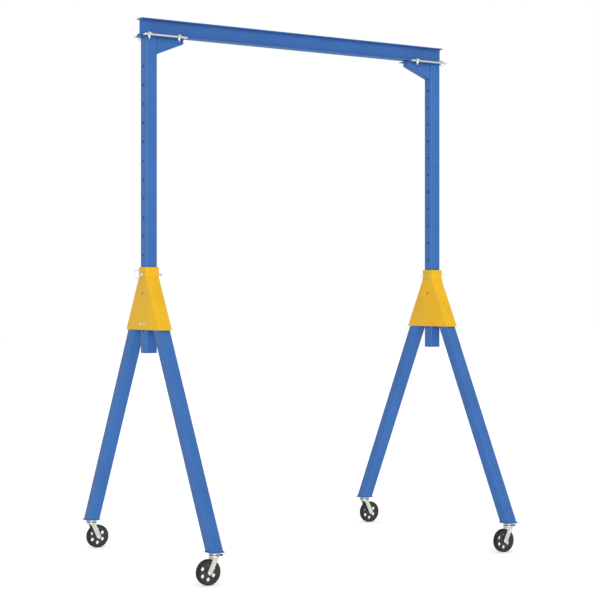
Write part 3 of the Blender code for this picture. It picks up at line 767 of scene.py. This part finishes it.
def clamp_bolt(bottom, top, plate_bottom):
    """Dome-headed bolt, washer and nut about Z, at their own heights."""
    radius, rise = 0.0130, 0.0055
    seat = top - rise
    dome = [(0.0, seat), (radius, seat)]
    dome += [(radius * math.cos(math.radians(a)), seat + rise * math.sin(math.radians(a)))
             for a in range(10, 90, 13)]
    return gather("clamp_bolt", [
        solid_lathe("dome", [*dome, (0.0, top)], 24),
        thread(0.00635, bottom, plate_bottom - 0.002),
        rod(0.0062, plate_bottom - 0.003, seat + 0.001, 16),
        washer(BOLT_BORE, 0.0125, plate_bottom - 0.0028, plate_bottom - 0.0004),
        hex_prism(FLATS, plate_bottom - 0.0113, plate_bottom - 0.0029)])


# ---------------------------------------------------------------- shoes
class GANTRY_OT_shoes(bpy.types.Operator):
    """Folded yellow shoes with their guide blocks and set bolts"""
    bl_idname = "gantry.shoes"
    bl_label = "Shoes"

    def execute(self, context):
        sizes = context.scene.gantry_shoe
        tube = context.scene.gantry_tube
        collar, fold, sheet = sizes.collar_half, sizes.fold_height, sizes.sheet
        blend = 0.005  # height of the bend above and below the fold
        set_bolt_hole = 0.0067
        guide_half, guide_round, guide_rise = 0.035, 0.004, 0.042
        for side in SIDES:
            low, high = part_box(side + "_shoe")
            centre = (low + high) / 2
            outward = -1 if side == "left" else 1
            half_x = (high.x - low.x) / 2
            skirt = (high.y - low.y) / 2
            slope = (skirt - collar) / (fold - low.z)
            levels = [(high.z, collar), (fold + blend, collar), (fold, collar + 0.0008),
                      (fold - blend, collar + slope * blend), (low.z, skirt)]
            rings = [at_height(z, rounded(half_x, half_y, sizes.bend, 5, centre))
                     for z, half_y in levels]
            for z, half_y in reversed(levels):
                inset = sheet * (math.hypot(1, slope) if z < fold else 1)
                rings.append(at_height(z, rounded(half_x - sheet, half_y - inset,
                                                  sizes.bend - sheet, 5, centre)))
            bits = [cylinder(tube.hole_radius, low.x - CUT, high.x + CUT, "X", (centre.y, z))
                    for z in (PIN_Z, PIN_Z - tube.hole_pitch)]
            face_x = centre.x + outward * half_x
            for sign in (-1, 1):
                bits.append(cylinder(set_bolt_hole, face_x - 2 * CUT, face_x + 2 * CUT, "X",
                                     (sign * sizes.set_bolt_offset, sizes.set_bolt_height)))
            hood = drilled(loft("hood", rings, closed=True), bits)
            show(side + "_hood", hood, "yellow", "base", [side + "_shoe"], bevel=0.0007)
            seam = at_height(fold + 0.0006, rounded(half_x + 0.0002, collar + 0.0010, sizes.bend,
                                                    4, centre))
            show(side + "_collar_weld", weld("collar_weld", [seam + seam[:1]], 0.0018, "yellow"),
                 "yellow", "base")
            guides = []
            for sign in (-1, 1):
                start, end = sorted((sign * (TUBE_HALF + 0.0007),
                                     sign * (collar - sheet - 0.0003)))
                outline = rounded(guide_half, guide_half, guide_round, 3,
                                  (centre.x, fold + guide_rise))
                guides.append(prism("guide", outline, start, end, "Y"))
            show(side + "_guide_blocks", gather("guides", guides), "yellow", "base",
                 bevel=0.001)
            self.set_bolts(side, face_x, outward)
        return {"FINISHED"}

    def set_bolts(self, side, face_x, outward):
        """Hex set bolts, each through a washer."""
        turn = Matrix.Rotation(outward * math.pi / 2, 4, "Y")
        reach = abs(face_x) - POST_X
        tip = TUBE_HALF + 0.0003 - reach
        bolt = gather("set_bolt", [thread(0.0062, tip, 0.004), hex_prism(FLATS, 0.0028, 0.0102),
                                   washer(BOLT_BORE, 0.0150, 0.0004, 0.0026)])
        nodes = [side + "_" + row + "_set_bolt" for row in ("near", "far")]
        spots = [(face_x, middle(node).y, middle(node).z) for node in nodes]
        mesh = fasteners("set_bolts", moved(bolt, turn), spots, "zinc")
        show(side + "_set_bolts", mesh, "zinc", "base", nodes)


def at_height(height, outline):
    return [(a, b, height) for a, b in outline]


# ---------------------------------------------------------------- legs
class GANTRY_OT_legs(bpy.types.Operator):
    """Slanting square tube legs with foot plates and weld beads"""
    bl_idname = "gantry.legs"
    bl_label = "Legs"

    def execute(self, context):
        radius = context.scene.gantry_tube.corner
        plate, plate_corner = 0.0095, 0.006  # thickness and corner radius of the foot plate
        for corner in CORNERS:
            low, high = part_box(corner + "_leg")
            away = 1 if corner.endswith("far") else -1
            centre_x = (low.x + high.x) / 2
            foot_y = middle(corner + "_kingpin").y
            foot_top = low.z + plate
            slope = leg_slope(corner, foot_y, away)
            across = TUBE_HALF * math.hypot(1.0, slope)
            rings = []
            for z in (foot_top - 0.001, high.z):
                line_y = foot_y - away * slope * (z - low.z)
                rings.append([(centre_x + x, line_y + y * across / TUBE_HALF, z)
                              for x, y in rounded(TUBE_HALF, TUBE_HALF, radius, 6)])
            foot_half = (high.x - low.x) / 2
            outline = rounded(foot_half, foot_half, plate_corner, 4, (centre_x, foot_y))
            foot = prism("foot", outline, low.z, foot_top, "Z")
            show(corner + "_strut", gather("leg", [loft("tube", rings), foot]), "blue", "base",
                 [corner + "_leg"], bevel=0.0008)
            line_y = foot_y - away * slope * plate
            seam = [(centre_x + x * 1.005, line_y + y * across / TUBE_HALF, foot_top + 0.0006)
                    for x, y in rounded(TUBE_HALF, TUBE_HALF, radius, 4)]
            show(corner + "_foot_weld", weld("foot_weld", [seam + seam[:1]], 0.0022), "blue",
                 "base")
        return {"FINISHED"}


def leg_slope(corner, foot_y, away):
    """Outward run of a leg for each unit of drop, from the two ends of its tube in the frame."""
    low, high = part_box(corner + "_leg")
    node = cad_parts[corner + "_leg"]
    top = [point.co.y for point in node.data.vertices if abs(point.co.z - high.z) < 0.0005]
    top_y = (min(top) + max(top)) / 2
    return away * (foot_y - top_y) / (high.z - low.z)


# ---------------------------------------------------------------- lock pins
class GANTRY_OT_pins(bpy.types.Operator):
    """Lock pins with grooved heads and wire pull rings"""
    bl_idname = "gantry.pins"
    bl_label = "Lock Pins"

    def execute(self, context):
        radius = 0.0095
        stub = 0.014  # from the outer end to the head
        head_end = stub + 0.008
        ease = 0.0012  # chamfer of the head, and depth of the groove near the tip
        eye_radius, eye_reach = 0.0040, 0.0077  # hole for the ring, and its place from the end
        for side in SIDES:
            low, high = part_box(side + "_lock_pin")
            ring_low, ring_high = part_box(side + "_pin_ring")
            outward = -1 if side == "left" else 1
            length = high.x - low.x
            head = (high.z - low.z) / 2
            shank = [(0.0, 0.0), (radius - 0.0010, 0.0), (radius, 0.0010), (radius, stub - 0.0010)]
            collar = [(radius + 0.001, stub), (head - ease, stub), (head, stub + ease),
                      (head, head_end - ease), (head - ease, head_end), (radius, head_end)]
            groove = shifted([(0.0, -0.0140), (-ease, -0.0130), (-ease, -0.0110), (0.0, -0.0100),
                              (0.0, -0.0060)], (radius, length))
            point = [(0.0065, length), (0.0, length)]
            pin = solid_lathe("pin", shank + collar + groove + point, 40)
            start_x = low.x if outward < 0 else high.x
            turn = Matrix.Rotation(-outward * math.pi / 2, 4, "Y")
            pin.transform(Matrix.Translation((start_x, 0.0, PIN_Z)) @ turn)
            eye_x = start_x - outward * eye_reach
            pin = drilled(pin, [cylinder(eye_radius, PIN_Z - 2 * CUT, PIN_Z + 2 * CUT, "Z",
                                         (eye_x, 0.0))])
            body = side + "_pin"
            show(side + "_locking_pin", pin, "zinc", body, [side + "_lock_pin"], bevel=0.0003)
            ring_x = (ring_low.x + ring_high.x) / 2
            wire = (ring_high.y - ring_low.y) / 2
            ring_radius = (ring_high.z - ring_low.z) / 2 - wire
            rings = []
            for step in range(64):
                angle = 2 * math.pi * step / 64
                ring = []
                for turn_step in range(12):
                    tilt = 2 * math.pi * turn_step / 12
                    reach = ring_radius + wire * math.cos(tilt)
                    ring.append((ring_x + reach * math.cos(angle), wire * math.sin(tilt),
                                 PIN_Z + reach * math.sin(angle)))
                rings.append(ring)
            show(side + "_pull_ring", loft("ring", rings, closed=True), "zinc", body,
                 [side + "_pin_ring"], smooth=80)
        return {"FINISHED"}


# ---------------------------------------------------------------- casters
KING_BORE = 0.0083  # radius, in both races
AXLE_BORE = 0.00665  # radius, in the fork's straps
STRAP_FACES = (0.0280, 0.0340)  # inner and outer faces of the fork's straps, from its middle
FLUTE_DEPTH, FLUTE_HALF = 0.0012, 0.0050  # groove pressed in a strap


def caster_place(corner):
    """Turns a caster modelled with its kingpin at the origin and its wheel trailing to +X."""
    kingpin = middle(corner + "_kingpin")
    turn = 0.0 if middle(corner + "_wheel").x > kingpin.x else math.pi
    return Matrix.Translation((kingpin.x, kingpin.y, 0.0)) @ Matrix.Rotation(turn, 4, "Z")


class GANTRY_OT_caster_heads(bpy.types.Operator):
    """Fixed upper races with their balls, and the kingpins"""
    bl_idname = "gantry.caster_heads"
    bl_label = "Caster Heads"

    def execute(self, context):
        sizes = context.scene.gantry_caster
        race = sizes.race
        low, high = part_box("right_far_upper_race")
        rim = (high.x - low.x) / 2
        top = high.z - 0.0002
        ball_z = low.z - 0.0004
        lip = [(KING_BORE, top), (rim - 0.0008, top), (rim, top - 0.0008), (rim, ball_z + 0.0041),
               (rim - 0.0006, ball_z + 0.0031)]
        groove = shifted([(0.0034, 0.0029), (0.0020, 0.0037), (0.0, 0.0043), (-0.0020, 0.0037),
                          (-0.0035, 0.0018)], (race, ball_z))
        cup = lathe("upper_race", [*lip, *groove, (race - 0.0042, low.z), (KING_BORE, low.z)], 72)
        pin_low, pin_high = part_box("right_far_kingpin")
        stem = solid_lathe("stem", [(0.0, pin_low.z), (0.0070, pin_low.z),
                                    (0.0080, pin_low.z + 0.001), (0.0080, pin_high.z - 0.0005),
                                    (0.0075, pin_high.z), (0.0, pin_high.z)], 24)
        nut = hex_prism(0.0240, pin_low.z + 0.0006, pin_low.z + 0.0084)
        king = gather("king", [stem, nut])
        balls = grown("balls", ball_row_tree(), {
            "Race Radius": race, "Ball Radius": sizes.ball, "Balls": sizes.ball_count,
            "Material": MATERIALS["balls"]})
        balls.transform(Matrix.Translation((0.0, 0.0, ball_z)))
        for corner in CORNERS:
            place = caster_place(corner)
            show(corner + "_race_cup", moved(cup, place), "zinc", "base",
                 [corner + "_upper_race"])
            show(corner + "_race_balls", moved(balls, place), "balls", "base", smooth=80)
            show(corner + "_king_bolt", moved(king, place), "zinc", "base", [corner + "_kingpin"])
        return {"FINISHED"}


class GANTRY_OT_forks(bpy.types.Operator):
    """Pressed forks with their lower races, and the axle bolts"""
    bl_idname = "gantry.forks"
    bl_label = "Caster Forks"

    def execute(self, context):
        sizes = context.scene.gantry_caster
        low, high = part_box("right_far_fork")
        crown_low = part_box("right_far_kingpin")[0].z + 0.0095  # above the kingpin's nut
        crown_top = high.z - 0.0087  # below the lower race
        crown = (high.y - low.y) / 2
        race = sizes.race
        flange = [(KING_BORE, crown_low), (crown - 0.0010, crown_low), (crown, crown_low + 0.0012),
                  (crown, crown_top - 0.0012), (crown - 0.0010, crown_top)]
        groove_foot = shifted([(0.0034, 0.0004), (0.0026, 0.0016)], (race, crown_top))
        groove = shifted([(0.0022, -0.0050), (0.0010, -0.0043), (0.0, -0.0041), (-0.0020, -0.0034),
                          (-0.0034, -0.0014), (-0.0041, 0.0)], (race, high.z))
        disc = lathe("crown", [*flange, *groove_foot, *groove, (KING_BORE, high.z)], 72)
        foot = Vector((TRAIL, AXLE.z))
        head = Vector((0.0, crown_top - 0.002))
        inner, outer = STRAP_FACES
        straps = [prism("strap", strap_outline(foot, head, sizes.strap_half), *ends, "Y")
                  for ends in ((-outer, -inner), (inner, outer))]
        bit_reach = 0.06  # past both straps
        tools = [cylinder(AXLE_BORE, -bit_reach, bit_reach, "Y", tuple(foot))]
        pressed, clear = outer - FLUTE_DEPTH, outer + 0.002
        tools += [prism("flute", strap_flute(foot, head), *ends, "Y")
                  for ends in ((-clear, -pressed), (pressed, clear))]
        legs = drilled(gather("straps", straps), tools)
        reach = sizes.strap_half * 1.05
        start = foot.lerp(head, 0.93)
        seams = [[(start.x + side * reach, y, crown_low - 0.0004) for side in (-1, 1)]
                 for y in (-outer - 0.0006, outer + 0.0006)]
        beads = weld("crown_welds", seams, 0.0024, "zinc")
        bolt = self.axle(outer)
        for corner in CORNERS:
            place = caster_place(corner)
            body = corner + "_caster_fork"
            show(corner + "_fork_straps", moved(legs, place), "zinc", body, [corner + "_fork"],
                 bevel=0.0009)
            show(corner + "_fork_crown", moved(disc, place), "zinc", body)
            show(corner + "_crown_welds", moved(beads, place), "zinc", body)
            show(corner + "_axle", moved(bolt, place), "zinc", body, [corner + "_axle_bolt"])
        return {"FINISHED"}

    def axle(self, face):
        """Axle bolt with a hex head, a lock nut and two washers, along Y at the axle."""
        shank = 0.0062
        parts = [rod(shank, -face - 0.002, face + 0.001, 20), thread(shank, face, face + 0.0120),
                 hex_prism(FLATS, -face - 0.0083, -face - 0.0018),
                 washer(0.0064, 0.0120, -face - 0.0017, -face - 0.0002),
                 washer(0.0064, 0.0120, face + 0.0002, face + 0.0017),
                 hex_prism(FLATS, face + 0.0018, face + 0.0100)]
        turn = Matrix.Rotation(-math.pi / 2, 4, "X")
        return moved(gather("axle", parts), Matrix.Translation((TRAIL, 0.0, AXLE.z)) @ turn)


def strap_line(foot, head):
    """Direction up a strap, and its angle in degrees."""
    along = (head - foot).normalized()
    return along, math.degrees(math.atan2(along.y, along.x))


def strap_outline(foot, head, half):
    """Flat strap in the XZ plane with parallel sides: a round foot on the axle, a level head."""
    along, heading = strap_line(foot, head)
    across = half / along.y
    return [*arc(foot, half, heading - 90, heading - 270, 16),
            (head.x - across, head.y), (head.x + across, head.y)]


def strap_flute(foot, head):
    """Long shallow groove pressed down the middle of a strap, to stiffen it."""
    along, heading = strap_line(foot, head)
    lower, upper = foot + along * 0.027, head - along * 0.020
    return [*arc(lower, FLUTE_HALF, heading - 90, heading - 270, 8),
            *arc(upper, FLUTE_HALF, heading + 90, heading - 90, 8)]


class GANTRY_OT_brake_pedals(bpy.types.Operator):
    """Ribbed pedals that lock the near casters"""
    bl_idname = "gantry.brake_pedals"
    bl_label = "Brake Pedals"

    def execute(self, context):
        for corner in CORNERS[::2]:
            low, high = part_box(corner + "_brake_pedal")
            kingpin = middle(corner + "_kingpin")
            away = 1 if low.x > kingpin.x else -1
            heel, toe = (low.x, high.x) if away > 0 else (high.x, low.x)
            rise = high.z - low.z
            top = [(heel, low.z + 0.50 * rise), (heel + away * 0.0080, low.z + 0.53 * rise),
                   (heel + away * 0.0140, low.z + 0.66 * rise),
                   (toe - away * 0.0030, high.z - 0.0009)]
            tip = [(toe - away * 0.0010, high.z - 0.0008), (toe, high.z - 0.0022)]
            under = [(toe - away * 0.0007, high.z - 0.0040), (heel + away * 0.0120, low.z + 0.0008),
                     (heel + away * 0.0070, low.z), (heel, low.z)]
            half = (high.y - low.y) / 2
            pedal = loft("pedal", [[(x, kingpin.y + side_y * half, z) for x, z in top + tip + under]
                                   for side_y in (-1, 1)])
            rib = prism("rib", rounded(0.0007, half - 0.0030, 0.0006, 3), -0.0012, 0.0006, "Z")
            start, end = Vector(top[2]), Vector(top[3])
            spots = [tuple(start.lerp(end, step / 4)) for step in range(4)]
            grips = fasteners("grips", rib, [(x, kingpin.y, z) for x, z in spots], "seal")
            body = corner + "_caster_fork"
            show(corner + "_pedal", pedal, "seal", body, [corner + "_brake_pedal"], bevel=0.0010)
            show(corner + "_pedal_grips", grips, "seal", body)
        return {"FINISHED"}


def mirrored(profile):
    """The other half of a wheel's profile, on the far side of its middle."""
    return [(radius, -height) for radius, height in reversed(profile)]


class GANTRY_OT_wheels(bpy.types.Operator):
    """Moulded wheels with cast treads, web holes and sealed hubs"""
    bl_idname = "gantry.wheels"
    bl_label = "Caster Wheels"

    def execute(self, context):
        sizes = context.scene.gantry_caster
        low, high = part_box("right_far_wheel")
        radius = AXLE.z
        face = (high.y - low.y) / 2
        width = 0.0240  # half the tread's width
        bit_reach = 0.05  # past both faces of the hub
        hub = [(0.0066, face), (0.0150, face), (0.0178, face - 0.0008), (0.0190, face - 0.0030)]
        web = [(0.0208, 0.0090), (0.0228, 0.0060), (0.0270, 0.0050), (0.0710, 0.0050)]
        rim = [(0.0742, 0.0060), (0.0758, 0.0085), (0.0778, width - 0.0026),
               (0.0790, width - 0.0010), (0.0862, width - 0.0006), (0.0867, width - 0.0030)]
        half_core = hub + web + rim
        core = lathe("core", half_core + mirrored(half_core), 72, True)
        bits = []
        for index in range(6):
            angle = math.radians(30 + 60 * index)
            spot = (sizes.hole_circle * math.cos(angle), sizes.hole_circle * math.sin(angle))
            bits.append(cylinder(sizes.hole_radius, -bit_reach, bit_reach, "Y", spot, 28))
        core = drilled(core, bits)
        shoulder = radius - 0.0085
        crown = arc((shoulder, width - 0.0085), 0.0080, 90, 8, 6)
        half_tread = [(0.0866, width - 0.0030), (0.0870, width), (shoulder, width), *crown[1:],
                      (radius, 0.0)]
        tread = lathe("tread", half_tread + mirrored(half_tread[:-1]), 96, True)
        sunk, thickness = 0.0006, 0.0009  # how far the seals sit in the hub's faces
        seal_bore, seal_rim = 0.0088, 0.0142
        seals = []
        for sign in (-1, 1):
            inner, outer = sign * (face - sunk), sign * (face - sunk + thickness)
            seals.append(lathe("seal", [(seal_bore, inner), (seal_rim, inner), (seal_rim, outer),
                                        (seal_bore, outer)], 40, True))
        seal = gather("seals", seals)
        for corner in CORNERS:
            centre = middle(corner + "_wheel")
            place = Matrix.Translation((centre.x, centre.y, radius))
            body = corner + "_caster_wheel"
            show(corner + "_wheel_core", moved(core, place), "core", body, [corner + "_wheel"],
                 bevel=0.0006)
            show(corner + "_tread", moved(tread, place), "tread", body)
            show(corner + "_hub_seals", moved(seal, place), "seal", body)
        return {"FINISHED"}


# ---------------------------------------------------------------- stage
class GANTRY_OT_stage(bpy.types.Operator):
    """White floor, soft light from the front left and off the floor, and the camera"""
    bl_idname = "gantry.stage"
    bl_label = "Stage"

    def execute(self, context):
        scene = context.scene
        scene.view_settings.view_transform = "Standard"
        scene.world = studio_world()
        outline = [(-60.0, -60.0), (60.0, -60.0), (60.0, 60.0), (-60.0, 60.0)]
        floor = placed("floor", prism("floor", outline, -0.02, -0.0005, "Z"))
        material = bpy.data.materials.new("painted_floor")
        material.use_nodes = True
        tree = material.node_tree
        feed(tree, tree.nodes["Principled BSDF"], {
            "Base Color": linear("#F4F4F2"), "Roughness": 0.9, "Specular IOR Level": 0.1,
            "Emission Color": (1.0, 1.0, 1.0, 1.0), "Emission Strength": 0.32})
        floor.data.materials.append(material)
        floor.visible_diffuse = False
        floor.visible_glossy = False
        floor.visible_shadow = False
        for name, power, spread, heading in (("softbox", 1.5, 35, (0.50, 0.82, -0.22)),
                                             ("floor_bounce", 0.75, 60, (0.35, 0.60, 0.70))):
            lamp = bpy.data.lights.new(name, "SUN")
            lamp.energy = power
            lamp.angle = math.radians(spread)
            light = placed(name, lamp)
            light.rotation_euler = Vector(heading).to_track_quat("-Z", "Y").to_euler()
        lens = bpy.data.cameras.new("camera")
        lens.sensor_width = 36.0
        lens.lens = 97.06
        lens.shift_y = -0.0089
        lens.clip_end = 200.0
        camera = placed("camera", lens)
        camera.location = (-7.5444, -11.5825, 2.1782)
        heading = math.radians(33.13)
        ahead = Vector((math.sin(heading), math.cos(heading), 0.0))
        camera.rotation_euler = ahead.to_track_quat("-Z", "Y").to_euler()
        scene.camera = camera
        return {"FINISHED"}


def studio_world():
    """White surround. It lights evenly from the sides and above and fades towards straight down,
    as in a studio whose walls are lit and whose floor throws little back."""
    world = bpy.data.worlds.new("studio")
    world.use_nodes = True
    tree = world.node_tree
    heading = add(tree, "ShaderNodeTexCoord").outputs["Generated"]
    height = add(tree, "ShaderNodeSeparateXYZ", {"Vector": heading}).outputs["Z"]
    fall = add(tree, "ShaderNodeMapRange", {"Value": height, "From Min": -0.75, "From Max": 0.0,
                                            "To Min": 0.62, "To Max": 0.76})
    seen = add(tree, "ShaderNodeLightPath").outputs["Is Camera Ray"]
    power = add(tree, "ShaderNodeMix", {"Factor": seen, "A": fall, "B": 1.0}, data_type="FLOAT")
    feed(tree, tree.nodes["Background"], {"Color": (1.0, 1.0, 1.0, 1.0), "Strength": power})
    return world


PIECE_OPERATORS = (GANTRY_OT_beam, GANTRY_OT_posts, GANTRY_OT_arms, GANTRY_OT_saddles,
                   GANTRY_OT_shoes, GANTRY_OT_legs, GANTRY_OT_pins, GANTRY_OT_caster_heads,
                   GANTRY_OT_forks, GANTRY_OT_brake_pedals, GANTRY_OT_wheels, GANTRY_OT_stage)


class GANTRY_PT_panel(bpy.types.Panel):
    """Lists the crane's pieces and settings"""
    bl_idname = "GANTRY_PT_panel"
    bl_label = "Gantry Crane"
    bl_space_type = "VIEW_3D"
    bl_region_type = "UI"
    bl_category = "Gantry"

    def draw(self, context):
        for name in SETTINGS:
            group = getattr(context.scene, name)
            box = self.layout.box()
            for key in group.__annotations__:
                box.prop(group, key)
        for operator in PIECE_OPERATORS:
            self.layout.operator(operator.bl_idname)


def register():
    for group in SETTINGS.values():
        bpy.utils.register_class(group)
    for name, group in SETTINGS.items():
        setattr(bpy.types.Scene, name, PointerProperty(type=group))
    for thing in (*PIECE_OPERATORS, GANTRY_PT_panel):
        bpy.utils.register_class(thing)


def unregister():
    for thing in reversed((*PIECE_OPERATORS, GANTRY_PT_panel)):
        bpy.utils.unregister_class(thing)
    for name in SETTINGS:
        delattr(bpy.types.Scene, name)
    for group in reversed(list(SETTINGS.values())):
        bpy.utils.unregister_class(group)


def main():
    register()
    mix_materials()
    bpy.ops.gantry.beam()
    bpy.ops.gantry.posts()
    bpy.ops.gantry.arms()
    bpy.ops.gantry.saddles()
    bpy.ops.gantry.shoes()
    bpy.ops.gantry.legs()
    bpy.ops.gantry.pins()
    bpy.ops.gantry.caster_heads()
    bpy.ops.gantry.forks()
    bpy.ops.gantry.brake_pedals()
    bpy.ops.gantry.wheels()
    bpy.ops.gantry.stage()


if __name__ == "__main__":
    main()
